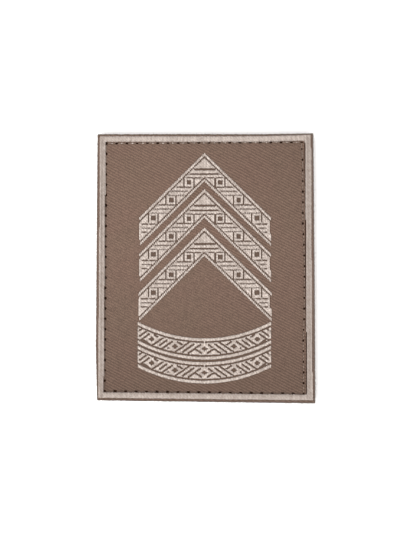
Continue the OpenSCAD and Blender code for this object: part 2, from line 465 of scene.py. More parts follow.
def twill_material():
    """Brown twill with ribs, flecks and clouds. Painted shade and highlight lie on the ribs, and
    painted shade dims it towards its bottom, top and right, between the lace's threads and in the
    needle holes. It has other shades at the cut, painted lighter and greyer at the right as a soft edge
    shadow."""
    # Valleys painted darker and ribs lighter: partly the twill's yarns, partly painted shade in the
    # valleys and painted highlight on the ribs
    valleys = ((0.090, 0.0585, 0.0428, 1), (0.0945, 0.0578, 0.0436, 1))
    ribs = ((0.168, 0.1115, 0.0817, 1), (0.1755, 0.1094, 0.0828, 1))
    rims_and_right_shadow = ((0.074, 0.0530, 0.0420, 1), (0.092, 0.0775, 0.0700, 1))
    laced = (0.084, 0.0555, 0.0410, 1)
    shadow = (0.010, 0.005, 0.003, 1)
    finish = {"roughness": 0.85, "sheen": 0.15, "specular": 0.2}
    calmest, clearer_away, clearer_low = 0.08, 0.78, 0.25
    shade_low, shade_high, shade_right = 0.35, 0.11, 0.11
    column_light = 0.17
    fibre_relief, column_relief = 0.4, 0.6

    material, graph, shader, place = new_material("brown_twill", **finish)
    shader.inputs["Sheen Tint"].default_value = (1.0, 0.78, 0.66, 1)
    x, y, z = graph.split(place)
    lower = graph.unit(0.5 - y / PAINTED_SHADE_DOWN) ** 2
    upper = graph.ramp(y, *PAINTED_SHADE_UP)
    right = graph.ramp(x, *PAINTED_SHADE_RIGHT)

    # How strongly the ribs' painted shade and highlight show: faint about the calm spot, stronger away
    # from it and towards the bottom
    away = graph.vector("DISTANCE", graph.xyz(x, y), (*CALM_SPOT, 0.0))
    clear = graph.ramp(away, 0.0, CALM_REACH)
    clear = clear * clear * clearer_away + (lower * clearer_low + calmest)
    from_axis = x - AXIS_X
    crest = graph.wave(from_axis * RIB_SLOPE + y, RIB_SPACING)
    column = graph.wave(from_axis, COLUMN)
    fleck = contrast(noise(graph, place, scale=4400), gain=4.6, middle=0.0)
    blotch = contrast(noise(graph, place, scale=600, detail=2.0), gain=0.7, middle=0.0)
    light = column * column_light + contrast(crest, gain=clear, middle=0.4) + fleck + blotch
    cloud = contrast(noise(graph, place, scale=110, detail=3.0), gain=2.0)
    valley = blend(graph, cloud, *valleys)
    color = blend(graph, graph.unit(light), valley, blend(graph, cloud, *ribs))

    # Painted shade, darker towards the bottom, the top and the right
    painted_shade = lower * shade_low + upper * shade_high + right * (1 - lower) * shade_right
    color = blend(graph, painted_shade, color, shadow)
    # Painted shade on the ground between the lace's threads
    color = blend(graph, noted_factor(graph, "laced"), color, laced)
    rim = noted_factor(graph, "rim")
    # The rim is darker, and painted lighter and greyer towards the right, standing in for the soft
    # shadow at that edge
    color = blend(graph, rim, color, blend(graph, right, *rims_and_right_shadow))
    color = paint_hole_shade(graph, shader, color, hole_shade(graph, z) * (1 - rim))
    fibre = noise(graph, place, scale=9000, stretch=FIBRE_STRETCH)
    height = fibre * fibre_relief + column * column_relief
    dress(graph, shader, color, height, depth=0.06 * MM, strength=0.8)
    return material


def light_thread_material():
    """Pale thread that differs from pair to pair, with fibres and speckles. It gets darker where its
    notes say that it is dull, which on the border and the knots is painted shade, and at a tie; shade
    is painted on it over a fold, on the lower thread of each pair, and over a gap."""
    lights = ((0.367, 0.305, 0.268, 1), (0.650, 0.571, 0.520, 1))
    dull_shade_color = (0.236, 0.188, 0.160, 1)
    fold_shade_color = (0.180, 0.147, 0.129, 1)
    brown_and_shade = (0.110, 0.080, 0.064, 1)
    finish = {"roughness": 0.6, "sheen": 0.25, "specular": 0.3}
    deepest_fold = 0.3 * MM
    # The more dull and shaded a thread is, the less it is speckled, and not at all from 1 / 6
    evening = 6.0

    material, graph, shader, place = new_material("pale_thread", **finish)
    thread = noted_factor(graph, "thread")
    dull = noted_factor(graph, "dull")
    pair = graph.math("FLOOR", thread / 2)
    lot = graph.out("ShaderNodeTexWhiteNoise", {"W": pair}, "Value", noise_dimensions="1D")
    lot = contrast(lot, gain=0.5, middle=0.0)
    mottle = noise(graph, place, scale=1500, detail=2.0, stretch=(1.0, 0.6, 1.0))
    fibre = noise(graph, place, scale=12000, stretch=(1.0, 0.12, 1.0))
    shade = contrast(mottle, gain=1.4) + lot + contrast(fibre, gain=0.4, middle=0.0)
    speckle = contrast(noise(graph, place, scale=2200), gain=3.4, middle=0.0)
    shade = shade + speckle * (1 - graph.unit(dull * evening))
    color = blend(graph, graph.unit(shade), *lights)

    # Dulled where the notes say, which on the border and the knots is painted shade
    patchy = contrast(noise(graph, place, scale=900, detail=2.0), gain=2.0, middle=1.0)
    color = blend(graph, graph.unit(dull * patchy), color, dull_shade_color)
    fold = graph.ramp(noted_factor(graph, "fold"), 0.0, deepest_fold)
    tie = noted_factor(graph, "tie")
    over_gap = noted_factor(graph, "over_gap")
    # Painted shade over a fold's valley, on the lower thread of each pair, and over a gap; also brown
    # at a tie
    shades = (
        (fold, 0.15, fold_shade_color), (thread % 2, 0.18, brown_and_shade), (tie, 0.45, brown_and_shade),
        (over_gap, 0.5, brown_and_shade),
    )
    for share, most, shade in shades:
        color = blend(graph, share * most, color, shade)
    dress(graph, shader, color, fibre, depth=0.03 * MM, strength=0.8)
    return material


def seam_thread_material():
    """Brown thread, lighter on the top side, and streaked on the right side."""
    streak_color = (0.270, 0.194, 0.152, 1)
    top_color = (0.185, 0.138, 0.110, 1)
    finish = {"roughness": 0.7, "sheen": 0.1, "specular": 0.15}
    streak_pitch = 1.05 * MM
    right_of, above = 28 * MM, 30 * MM
    top_share = 0.8
    material, graph, shader, place = new_material("seam_thread", **finish)
    x, y, z = graph.split(place)
    fibre = noise(graph, place, scale=8000)
    color = blend(graph, fibre, *DARK_BROWNS)
    streak = graph.wave(y, streak_pitch) ** 2
    color = blend(graph, (x > right_of) * streak, color, streak_color)
    color = blend(graph, (y > above) * top_share, color, top_color)
    color = paint_hole_shade(graph, shader, color, hole_shade(graph, z))
    dress(graph, shader, color, fibre, depth=0.02 * MM, strength=0.6)
    return material


def tape_material():
    finish = {"roughness": 0.8, "sheen": 0.1, "specular": 0.25}
    material, graph, shader, place = new_material("hook_tape_cloth", **finish)
    grain = contrast(noise(graph, place, scale=3000, detail=2.0), gain=1.5)
    fibre = noise(graph, place, scale=9000, stretch=FIBRE_STRETCH)
    dress(graph, shader, blend(graph, grain, *DARK_BROWNS), fibre, depth=0.04 * MM, strength=0.7)
    return material


def hook_material():
    browns = ((0.085, 0.058, 0.045, 1), (0.17, 0.12, 0.095, 1))
    material, graph, shader, place = new_material("hook_nylon", roughness=0.38)
    color = blend(graph, noise(graph, place, scale=700, detail=2.0), *browns)
    dress(graph, shader, color, noise(graph, place, scale=9000), depth=0.01 * MM, strength=0.4)
    return material


def floor_material():
    whites = ((0.96, 0.96, 0.96, 1), (0.98, 0.98, 0.98, 1))
    finish = {"roughness": 0.9, "sheen": 0.0, "specular": 0.1}
    material, graph, shader, place = new_material("pale_floor", **finish)
    color = blend(graph, noise(graph, place, scale=30, detail=2.0), *whites)
    graph.feed(color, shader.inputs["Base Color"])
    return material


# Ground cloth and hook tape

def ribbed_sheet_tree(sewn):
    """A ribbed sheet trimmed to the ring that comes in, which lies at height 0. Where it is sewn,
    the seam draws it in, and its channel and needle holes are cut out."""
    inputs = {
        "Columns": "Int", "Column Width": "Float", "Picks": "Int", "Pick": "Float",
        "Rib Picks": "Float", "Slope": "Float", "Rib Height": "Float", "Rib Wander": "Float",
        "Middle": "Float", "Face Level": "Float", "Thickness": "Float", "Edge Spacing": "Float",
        "Edge Wander": "Float", "Wander Size": "Float", "Rim Width": "Float", "Rim Drop": "Float",
        "Seed": "Int",
    }
    if sewn:
        inputs.update({
            "Seam Line": "Object", "Channel Width": "Float", "Channel Depth": "Float",
            "Pull Width": "Float", "Pull Depth": "Float", "Needle Holes": "Object",
            "Foot Line": "Object", "Foot Width": "Float", "Foot Depth": "Float",
        })
    graph = GeometryGraph("ribbed_sheet", inputs)
    given = graph.given
    sharp_angle = math.radians(60)
    groove_sides = 8
    groove_ring_spacing = 1 * MM
    x, y, z = graph.split(graph.place())
    back_level = given["Face Level"] - given["Thickness"]
    below = back_level - given["Thickness"]

    def nearness(edges, width):
        """1 on edges that lie at height 0, and falling to 0 at width from them, seen from above."""
        inputs = {"Geometry": edges, "Sample Position": graph.xyz(x, y)}
        away = graph.out("GeometryNodeProximity", inputs, "Distance", target_element="EDGES")
        return graph.unit(1 - away / width)

    def closed_slab(sheet, rise):
        """A flat sheet that faces up, made a closed slab that reaches up from it by rise."""
        upper = graph.out("GeometryNodeExtrudeMesh", {
            "Mesh": sheet, "Offset": graph.xyz(z=rise), "Offset Scale": 1.0, "Individual": False,
        })
        lower = graph.out("GeometryNodeFlipFaces", {"Mesh": sheet})
        inputs = {"Geometry": graph.join([upper, lower]), "Distance": GRAIN}
        return graph.out("GeometryNodeMergeByDistance", inputs)

    # The slab that trims the cloth, with a wandering outline
    outline = graph.resample(graph.curve_of(given["Geometry"]), given["Edge Spacing"])
    scale = graph.math("DIVIDE", 1.0, given["Wander Size"])
    ripple = graph.out("ShaderNodeTexNoise", {"Scale": scale, "Detail": 2.0}, "Color")
    ripple = graph.vector("SUBTRACT", ripple, (0.5, 0.5, 0.5))
    reach = graph.xyz(given["Edge Wander"], given["Edge Wander"])
    outline = graph.shift(outline, graph.vector("MULTIPLY", ripple, reach))
    trimmer = graph.out("GeometryNodeFillCurve", {"Curve": outline}, mode="NGONS")
    trimmer = graph.move(trimmer, graph.xyz(x, y, back_level))
    trimmer = closed_slab(trimmer, given["Thickness"] * 2)

    # The ribbed slab: a column for every two threads, sheared so that the ribs slant
    grid = graph.out("GeometryNodeMeshGrid", {
        "Size X": given["Columns"] * given["Column Width"],
        "Size Y": given["Picks"] * given["Pick"],
        "Vertices X": given["Columns"] + 1,
        "Vertices Y": given["Picks"] + 1,
    })
    slab = closed_slab(graph.move(grid, graph.xyz(x, y, below)), given["Thickness"])
    turn = y / (given["Pick"] * given["Rib Picks"])
    rib = graph.math("ABSOLUTE", graph.math("COSINE", turn * math.pi))
    wander = graph.random(-1.0, 1.0, given["Seed"]) * given["Rib Wander"]
    face = (rib + wander - 1) * given["Rib Height"] + given["Face Level"]
    raised = graph.out("FunctionNodeCompare", {0: z, 1: below + GRAIN})
    level = graph.choose(raised, face, below)
    slab = graph.move(slab, graph.xyz(x + given["Middle"], y - x * given["Slope"], level))

    # The cloth, drawn down at its rim and along its seam
    cloth = graph.common(slab, trimmer)
    rim = nearness(graph.out("GeometryNodeCurveToMesh", {"Curve": outline}), given["Rim Width"])
    cloth = graph.note(cloth, rim=rim)
    fall = rim * rim * given["Rim Drop"]
    if sewn:
        seam_edges = graph.solid_of(given["Seam Line"])
        pull = nearness(seam_edges, given["Pull Width"]) ** 2
        fall = pull * given["Pull Depth"] + fall
    on_face = z > given["Thickness"] * 0.5 + back_level
    cloth = graph.shift(cloth, graph.xyz(z=-(fall * on_face)))
    if sewn:
        foot_edges = graph.solid_of(given["Foot Line"])
        for line, name in ((seam_edges, "Channel"), (foot_edges, "Foot")):
            groove = graph.resample(graph.curve_of(line), groove_ring_spacing)
            groove = graph.move(groove, graph.xyz(x, y, given["Face Level"]))
            section = graph.ellipse(
                groove_sides, given[name + " Width"], given[name + " Depth"] * 2
            )
            cloth = graph.cut(cloth, graph.tube(groove, section))
        holes = graph.beads(graph.solid_of(given["Needle Holes"]))
        holes = graph.out("GeometryNodeRealizeInstances", {"Geometry": holes})
        cloth = graph.cut(cloth, holes)
    return graph.close(cloth, sharp_angle)


# Woven threads of the insignia and the border

# How far under a chevron's point its rows of rings start, and the gaps under each row that threads
# bridge: their drop from the row, every how manieth thread stops at them, and in how many of the
# rows they are bridged. The last row's gaps lie a little lower.
FIRST_RING_DROP = 8.33 * MM
RING_PITCH = 5.30 * MM
RING_ROWS = 3
BRIDGED_GAPS = ((2.63 * MM, 2, 3), (3.85 * MM, 3, 2))
LAST_BARS_DROP = 0.4 * MM
# How far an upper edging's point lies above the point that drops are measured from
STROKE_RISE = 0.526 * MM
# Gaps narrower than this can be bridged, and stretches shorter than the next are left out
WIDEST_BRIDGE = 0.5 * MM
SHORTEST_FLOAT = 0.12 * MM
# How far a thread's ends stop short of the CAD's edges, from below: at the outline, on top of the
# lower edging, under the lace, at the gaps in it, on top of it, and under the upper edging
THREAD_ENDS = {
    "chevron": (0.05 * MM, 0.18 * MM, -0.31 * MM, -0.04 * MM, -0.17 * MM, 0.06 * MM),
    "rocker": (0.05 * MM, -0.04 * MM, 0.12 * MM, 0.09 * MM, 0.07 * MM, -0.04 * MM),
    "border": (0.06 * MM, -0.12 * MM, 0.0, 0.0, 0.0, -0.12 * MM),
}
END_WANDER = 0.08 * MM
# A chevron's threads run on across level gaps where their stretches are shorter than this, so that
# the lace has a light edge, and reach into notches in that edge up to this deep
LACE_EDGE = 0.28 * MM
DEEPEST_NOTCH = 0.6 * MM
# The star-shaped hole in a rocker's middle ring: half the width and height of its level and upright
# arms, the least half height that shows, and how much a thread's round end adds to it
STAR_ARMS = ((1.4 * MM, 0.36 * MM), (0.46 * MM, 0.78 * MM))
LEAST_OPENING = 0.08 * MM
ROUND_END = 0.03 * MM
# How far threads run on past the right end of the CAD's solids
PAST_RIGHT = {"chevron": 0.41 * MM, "rocker": 0.1 * MM, "border": 0.0}
# A chevron's lower edging ends this much before the lace and the upper edging, and the lowest part
# of its lace runs on with the edgings
EDGING_SHORT = 0.35 * MM
LACE_TIP = 1.8 * MM
# Over what length a chevron's slope is read
SLOPE_STEP = 1 * MM
# A rocker's lace is closed over this width at its left and right end
LACE_CLOSED = (0.1 * MM, 0.45 * MM)
# Free width that a thread needs to either side of it
INSIGNIA_ROOM = 0.035 * MM
BORDER_ROOM = 0.03 * MM
# Radius of the border's inner corner at the top right
CORNER_RADIUS = 0.9 * MM
# Threads longer than this are those of the border's sides, which fold over its edges
LEAST_FOLDED = 10 * MM
# A level and a length past any on the patch, for threads that never fold
NEVER = 1.0
# The long threads right under a chevron's point: how far below it they start, and how dull they are
CROWN_HEIGHT = 6.2 * MM
CROWN_DULL = 0.1
# How much shade is painted on the border's threads at its top and bottom, and from left to right across
# its sides: least at the left edge, most in the middle
BORDER_PAINTED_SHADE = {"top": 0.18, "bottom": 0.37}
SIDE_PAINTED_SHADE = ((0.0, 0.45, 1.0), (0.28, 0.54, 0.42))


def woven_thread_tree():
    """Threads along float lines. Each lies on top of a solid, and dives at its ends and ties."""
    graph = GeometryGraph("woven_threads", {
        "Laid On": "Object", "Gap Level": "Float", "Width": "Float", "Height": "Float",
        "Sides": "Int", "Ring Spacing": "Float", "End Length": "Float", "End Depth": "Float",
        "Tie Spacing": "Float", "Tie Shift": "Float", "Tie Depth": "Float", "Pair Depth": "Float",
        "Fold Level": "Float", "Fold Gain": "Float", "Least Folded": "Float", "Wander": "Float",
        "Gap Shade": "Float", "Free End": "Float",
    })
    given = graph.given
    fewest_rings = 6
    least_rise = 0.05
    tie_sharpness = 5.0
    ray_start = 10 * MM
    least_width = 0.7
    ripple_scale = 1800
    ripple_step = 3 * MM

    length = graph.out("GeometryNodeSplineLength", pick="Length")
    rings = graph.math("MAXIMUM", length / given["Ring Spacing"], fewest_rings)
    curve = graph.ringed(graph.curve_of(given["Geometry"]), rings)

    # Round ends that dive
    along = graph.out("GeometryNodeSplineParameter", pick="Length")
    from_end = graph.math("MINIMUM", along, length - along)
    end_length = graph.math("MINIMUM", given["End Length"], length * 0.5)
    rise = graph.math("MAXIMUM", from_end / end_length, least_rise)
    rise = graph.math("MINIMUM", rise, 1.0)
    fullness = graph.math("SQRT", rise * (2 - rise))
    dive = (1 - fullness) * given["End Depth"]

    # The top of the solid, read straight down, or aside for a thread past the solid's end
    place = graph.place()
    x, y = graph.split(place)[:2]
    read_place = graph.vector("ADD", place, graph.noted("aside", "FLOAT_VECTOR"))
    ray = graph.outs("GeometryNodeRaycast", {
        "Target Geometry": graph.solid_of(given["Laid On"]),
        "Source Position": graph.vector("ADD", read_place, (0, 0, ray_start)),
        "Ray Direction": (0, 0, -1),
        "Ray Length": 2 * ray_start,
    })
    top = graph.choose(ray["Is Hit"], graph.split(ray["Hit Position"])[2], given["Gap Level"])

    # Ties that step from thread to thread, the lower of each pair, and the fold of long threads
    thread = graph.noted("thread")
    turn = thread * given["Tie Shift"] + y / given["Tie Spacing"]
    tie = graph.wave(turn, 1.0) ** tie_sharpness
    sink = thread % 2 * given["Pair Depth"] + dive
    sink = tie * given["Tie Depth"] + sink
    above = graph.math("MAXIMUM", top - given["Fold Level"], 0.0)
    fold = above * given["Fold Gain"] * (length > given["Least Folded"])
    middle = given["Height"] * -0.5 + (top - (fold + sink))

    # What the material reads, a thread's wander, and how much narrower it is over a gap
    # over_gap marks where shade is painted on a thread that bridges a gap
    over_gap = (1 - ray["Is Hit"]) * given["Gap Shade"] * (from_end > given["Free End"])
    curve = graph.note(curve, fold=fold, tie=tie, over_gap=over_gap)
    own_place = graph.vector("ADD", place, graph.xyz(z=thread * ripple_step))
    ripple = {"Vector": own_place, "Scale": ripple_scale, "Detail": 1.0}
    ripple = graph.out("ShaderNodeTexNoise", ripple) - 0.5
    curve = graph.move(curve, graph.xyz(ripple * given["Wander"] + x, y, middle))
    scale = fullness * (graph.noted("over_gap") * (least_width - 1) + 1)
    section = graph.ellipse(given["Sides"], given["Width"], given["Height"])
    return graph.close(graph.tube(curve, section, scale))


def runs_on(k, y, point_y):
    """Whether thread k runs on across the level gap at height y, in a chevron with its point at
    point_y."""
    for row in range(RING_ROWS):
        last = LAST_BARS_DROP if row == RING_ROWS - 1 else 0
        for drop, stops_every, rows in BRIDGED_GAPS:
            level = point_y - FIRST_RING_DROP - row * RING_PITCH - last - drop
            if abs(y - level) < WIDEST_BRIDGE / 4:
                return row < rows and k % stops_every != 0
    return False


def least_spans(loops, x, room):
    """The thread's stretches at x, or at room to either side of it if they are shorter there."""
    beside = [spans_up(loops, x + side * room) for side in (-1, 0, 1)]
    return min(beside, key=lambda spans: np.sum(spans[:, 1] - spans[:, 0]))


def step_edges(spans, pair_spans):
    """Gives a thread's stretches the ends of its pair's, so that slanted edges have steps."""
    if not len(pair_spans):
        return
    for i in range(len(spans)) if len(spans) == len(pair_spans) else (0, -1):
        if np.abs(pair_spans[i] - spans[i]).max() < THREAD_PITCH:
            spans[i] = pair_spans[i]


def lace_room(loops, xs):
    """The usual gaps, up the patch, between a chevron's lace and its lower and upper edging."""
    rows = [spans for spans in (spans_up(loops, x) for x in xs) if len(spans) > 2]
    lower = [spans[1, 0] - spans[0, 1] for spans in rows]
    upper = [spans[-1, 0] - spans[-2, 1] for spans in rows]
    return float(np.median(lower)), float(np.median(upper))


def fill_notches(spans, rooms):
    """Lets the lace's outermost stretches reach the even line that it keeps along the edging."""
    low = spans[0, 1] + rooms[0]
    high = spans[-1, 0] - rooms[1]
    if 0 < spans[1, 0] - low < DEEPEST_NOTCH:
        spans[1, 0] = low
    if 0 < high - spans[-2, 1] < DEEPEST_NOTCH:
        spans[-2, 1] = high


def pinch_ring_hole(loops, x, stretches):
    """A rocker's stretches, with a four-pointed star for the hole in its middle ring."""
    spans = stretches.tolist()
    on_axis = spans_up(loops, AXIS_X)
    widest = np.argmax(on_axis[1:, 0] - on_axis[:-1, 1])
    hole_y = (on_axis[widest, 1] + on_axis[widest + 1, 0]) / 2
    opening = max(height * (1 - abs(x - AXIS_X) / width) for width, height in STAR_ARMS)
    if opening < LEAST_OPENING:
        return spans
    opening -= THREAD_ENDS["rocker"][3] + ROUND_END
    for i, (low, high) in enumerate(spans):
        if low < hole_y < high:
            spans[i:i + 1] = [[low, hole_y], [hole_y, high]]
    for below, above in zip(spans, spans[1:]):
        if abs((below[1] + above[0]) / 2 - hole_y) < STAR_ARMS[0][1]:
            below[1] = hole_y - opening
            above[0] = hole_y + opening
    return spans


def chevron_end(loops, x, end_x):
    """A chevron's stretches at x near its right end, and the way from there back onto its solids.
    Its arm runs on at the slope that it has over the last full step."""
    full_x = end_x - EDGING_SHORT
    full = spans_up(loops, full_x)
    slope = (full[0, 0] - spans_up(loops, full_x - SLOPE_STEP)[0, 0]) / SLOPE_STEP
    fall = slope * (x - full_x)
    stretches = full[[0, 1, -1]] + fall
    if x > end_x - INSIGNIA_ROOM:
        stretches[1, 1] = stretches[1, 0] + LACE_TIP
    return stretches, (full_x - x, -fall, 0.0)


def rocker_end(loops, x, low_x, high_x, room):
    """A rocker's stretches at x, and the way from there back onto its solids at its two ends."""
    read_x = float(np.clip(x, low_x + room + GRAIN, high_x - room - GRAIN))
    stretches = least_spans(loops, read_x, room)
    if x < low_x + LACE_CLOSED[0] or x > high_x - LACE_CLOSED[1]:
        lace = [stretches[1, 0], stretches[-2, 1]]
        stretches = np.array([stretches[0], lace, stretches[-1]])
    return stretches, (read_x - x, 0.0, 0.0)


def end_trims(kind, i, count):
    """How far the lower and upper ends of a thread's stretch i out of count stop short."""
    outline, over_edging, under_lace, at_gap, over_lace, under_edging = THREAD_ENDS[kind]
    lower = {1: under_lace, count - 1: under_edging, 0: outline}
    upper = {count - 2: over_lace, 0: over_edging, count - 1: outline}
    return lower.get(i, at_gap), upper.get(i, at_gap)


def border_painted_shade(loops, x, y0, y1):
    """How much shade is painted on a thread of the border."""
    if y1 - y0 < LEAST_FOLDED:
        return BORDER_PAINTED_SHADE["top" if y0 > 0 else "bottom"]
    start, end = spans_up([loop[:, ::-1] for loop in loops], 0.0)[0 if x < 0 else -1]
    return float(np.interp((x - start) / (end - start), *SIDE_PAINTED_SHADE))


def corner_fill(x, corner_x):
    """How far the border's top side reaches lower at x, to round its inner corner."""
    across = CORNER_RADIUS - np.clip(corner_x - x, 0, CORNER_RADIUS)
    rounded = CORNER_RADIUS - math.sqrt(CORNER_RADIUS ** 2 - across ** 2)
    return rounded if x < corner_x else 0.0


def thread_stretches(kind, loops, k, low_x, high_x, room):
    """The stretches of thread k as the solids give them, and the way from it back onto them."""
    x = AXIS_X + k * THREAD_PITCH
    aside = (0.0, 0.0, 0.0)
    if kind == "chevron" and x > high_x - EDGING_SHORT:
        stretches, aside = chevron_end(loops, x, high_x)
    elif kind == "rocker":
        stretches, aside = rocker_end(loops, x, low_x, high_x, room)
    else:
        stretches = least_spans(loops, x, room)
    if kind == "border":
        if len(stretches) > 1:
            inner_corner = max(loops[-1], key=sum)
            stretches[-1, 0] -= corner_fill(x, inner_corner[0])
    elif len(stretches):
        pair_x = AXIS_X + (2 * (k // 2) + 0.5) * THREAD_PITCH
        step_edges(stretches, spans_up(loops, pair_x))
    return stretches, aside


def bridge_gaps(stretches, k, point_y):
    """A chevron's stretches, joined across the level gaps at which thread k runs on."""
    joined = []
    for y0, y1 in stretches:
        gap = y0 - joined[-1][1] if joined else WIDEST_BRIDGE
        if gap < WIDEST_BRIDGE:
            short = min(y1 - y0, joined[-1][1] - joined[-1][0]) < LACE_EDGE
            if short or runs_on(k, y0 - gap / 2, point_y):
                joined[-1][1] = y1
                continue
        joined.append([y0, y1])
    return joined


def float_lines(node, room):
    """A line up the patch for each stretch of each light thread on a node's face."""
    low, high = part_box(node)
    kind = node.split("_")[0]
    point_y = high.y - STROKE_RISE
    loops = face_loops(node, low.z)
    rng = np.random.default_rng(len(loops))
    first = math.ceil((low.x - AXIS_X) / THREAD_PITCH)
    last = math.floor((high.x + PAST_RIGHT[kind] - AXIS_X) / THREAD_PITCH)
    if kind == "chevron":
        rooms = lace_room(loops, AXIS_X + np.arange(first, last + 1) * THREAD_PITCH)
    points, edges, threads, dull, asides = [], [], [], [], []
    for k in range(first, last + 1):
        x = AXIS_X + k * THREAD_PITCH
        stretches, aside = thread_stretches(kind, loops, k, low.x, high.x, room)
        if kind == "chevron":
            if len(stretches) > 2:
                fill_notches(stretches, rooms)
            stretches = bridge_gaps(stretches, k, point_y)
        elif kind == "rocker":
            stretches = pinch_ring_hole(loops, x, stretches)
        for i, (y0, y1) in enumerate(stretches):
            low_trim, high_trim = end_trims(kind, i, len(stretches))
            y0 += low_trim + rng.uniform(-END_WANDER, END_WANDER)
            y1 -= high_trim + rng.uniform(-END_WANDER, END_WANDER)
            if y1 - y0 > SHORTEST_FLOAT:
                in_crown = i == len(stretches) - 2 and y0 > point_y - CROWN_HEIGHT
                shade = CROWN_DULL if kind == "chevron" and in_crown else 0.0
                if kind == "border":
                    shade = border_painted_shade(loops, x, y0, y1)
                edges.append((len(points), len(points) + 1))
                points += [(x, y0, low.z), (x, y1, low.z)]
                threads += [k, k]
                asides += [aside, aside]
                dull += [shade, shade]
    return point_mesh(node + "_floats", points, edges, thread=threads, dull=dull, aside=asides)


def weave(node, tree, material, room, **sizes):
    """The threads that stand for one CAD node of light thread."""
    lines = float_lines(node, room)
    piece = grow(
        node + "_threads", lines, tree, laid_on=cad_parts[node], material=material,
        width=0.235 * MM, height=0.25 * MM, sides=6, ring_spacing=PICK,
        tie_spacing=RIB_SPACING, tie_shift=1 / RIB_PICKS, pair_depth=0.05 * MM, **sizes,
    )
    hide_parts(node)
    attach(piece, "root")
    return piece


# Nodes whose ground gets painted shade from the first to the last thread
LACED_TOGETHER = (
    ("chevron_top",), ("chevron_middle",), ("chevron_bottom",), ("rocker_upper", "rocker_lower"),
)
# The painted shade on the ground is darkest this near to a thread, and from the second distance on it
# has this share of that darkness. Distances are taken from points at these steps along the threads'
# outlines.
NEAR_THREAD = 0.25 * MM
CLEAR_OF_THREAD = 0.6 * MM
CLEAR_SHADE = 0.8
OUTLINE_STEP = 0.15 * MM


def mark_lace(mesh):
    """Notes on the ground cloth's points how much shade is painted on them between an insignia's
    threads.
    """
    count = len(mesh.vertices)
    places = np.empty(3 * count)
    mesh.vertices.foreach_get("co", places)
    x, y = places.reshape(-1, 3)[:, :2].T
    laced = np.zeros(count, np.float32)
    for nodes in LACED_TOGETHER:
        loops = [loop for node in nodes for loop in face_loops(node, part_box(node)[0].z)]
        corners = np.concatenate(loops)
        low_x, high_x = corners[:, 0].min(), corners[:, 0].max()
        across = np.arange(low_x + GRAIN, high_x, THREAD_PITCH)
        spans = [spans_up(loops, at) for at in across]
        bottom = np.interp(x, across, [span[0, 0] for span in spans])
        top = np.interp(x, across, [span[-1, 1] for span in spans])
        outline = np.concatenate([points_along(loop, OUTLINE_STEP)[0] for loop in loops])
        tree = KDTree(len(outline))
        for i, (px, py) in enumerate(outline):
            tree.insert((px, py, 0.0), i)
        tree.balance()
        for i in np.nonzero((x > low_x) & (x < high_x) & (y > bottom) & (y < top))[0]:
            away = tree.find((x[i], y[i], 0.0))[2]
            share = np.clip((away - NEAR_THREAD) / (CLEAR_OF_THREAD - NEAR_THREAD), 0, 1)
            laced[i] = 1 + share * (CLEAR_SHADE - 1)
    mesh.attributes.new("laced", "FLOAT", "POINT").data.foreach_set("value", laced)


# Seam

# On each side of the patch: the length of a stitch, the part of one that the last stitch is,
# and the needle holes' length along the seam and width
SEAM_SIDES = {
    "top": (3.08 * MM, 1.0, 1.20 * MM, 0.56 * MM),
    "right": (3.16 * MM, 0.64, 0.75 * MM, 0.62 * MM),
    "bottom": (3.08 * MM, 1.0, 1.40 * MM, 0.70 * MM),
    "left": (3.08 * MM, 1.0, 0.95 * MM, 0.85 * MM),
}
# How deep a needle hole reaches under the face, and by what share its length and width vary
HOLE_DEPTH = 0.85 * MM
HOLE_SPREAD = 0.15
# How far the right side of the seam strays outwards, at heights on the patch from the lowest up
RIGHT_STRAY = (
    (-40 * MM, -30 * MM, -22 * MM, -14 * MM, 2 * MM, 9 * MM, 14 * MM, 18 * MM, 33 * MM, 36 * MM),
    (0.0, 0.06 * MM, 0.0, 0.36 * MM, 0.55 * MM, 0.42 * MM, 0.15 * MM, 0.25 * MM, 0.28 * MM, 0.0),
)


def seam_corners():
    """The seam's line, midway between the two walls of the channel in the cloth."""
    outer, inner = face_loops("ground_cloth", CHANNEL_Z)[:2]
    nearest = [inner[np.argmin(np.linalg.norm(inner - corner, axis=1))] for corner in outer]
    return (outer + np.array(nearest)) / 2


def side_name(start, end):
    """Which side of the patch a line lies on."""
    along = end - start
    if abs(along[0]) > abs(along[1]):
        return "top" if start[1] > 0 else "bottom"
    return "right" if start[0] > 0 else "left"


def seam_sides(corners):
    """Each side of the seam: its name, and its needle holes' places from corner to corner."""
    for start, end in zip(corners, np.roll(corners, -1, axis=0)):
        name = side_name(start, end)
        stitch, last = SEAM_SIDES[name][:2]
        count = round(np.linalg.norm(end - start) / stitch + 1 - last)
        shares = np.append(np.arange(count), count - 1 + last) / (count - 1 + last)
        places = start + shares[:, None] * (end - start)
        if name == "right":
            places[1:-1, 0] += np.interp(places[1:-1, 1], *RIGHT_STRAY)
        yield name, places


def needle_holes(corners, rng):
    """A point at each needle hole, with the hole's half size."""
    points, sizes = [], []
    for name, places in seam_sides(corners):
        along, across = SEAM_SIDES[name][2:]
        width, height = (along, across) if name in ("top", "bottom") else (across, along)
        for place in places[:-1]:
            half = rng.uniform(1 - HOLE_SPREAD, 1 + HOLE_SPREAD) / 2
            points.append((*place, FACE_Z))
            sizes.append((width * half, height * half, HOLE_DEPTH))
    return point_mesh("needle_holes", points, half_size=sizes)


# How far the groove at the foot of the border's right side lies from it, and strays, at what steps
FOOT_GAP = 0.1 * MM
FOOT_STRAY = 0.12 * MM
FOOT_STEP = 0.9 * MM
# The border's right side lies within this of its rightmost inner corner
BORDER_WANDER = 3 * MM


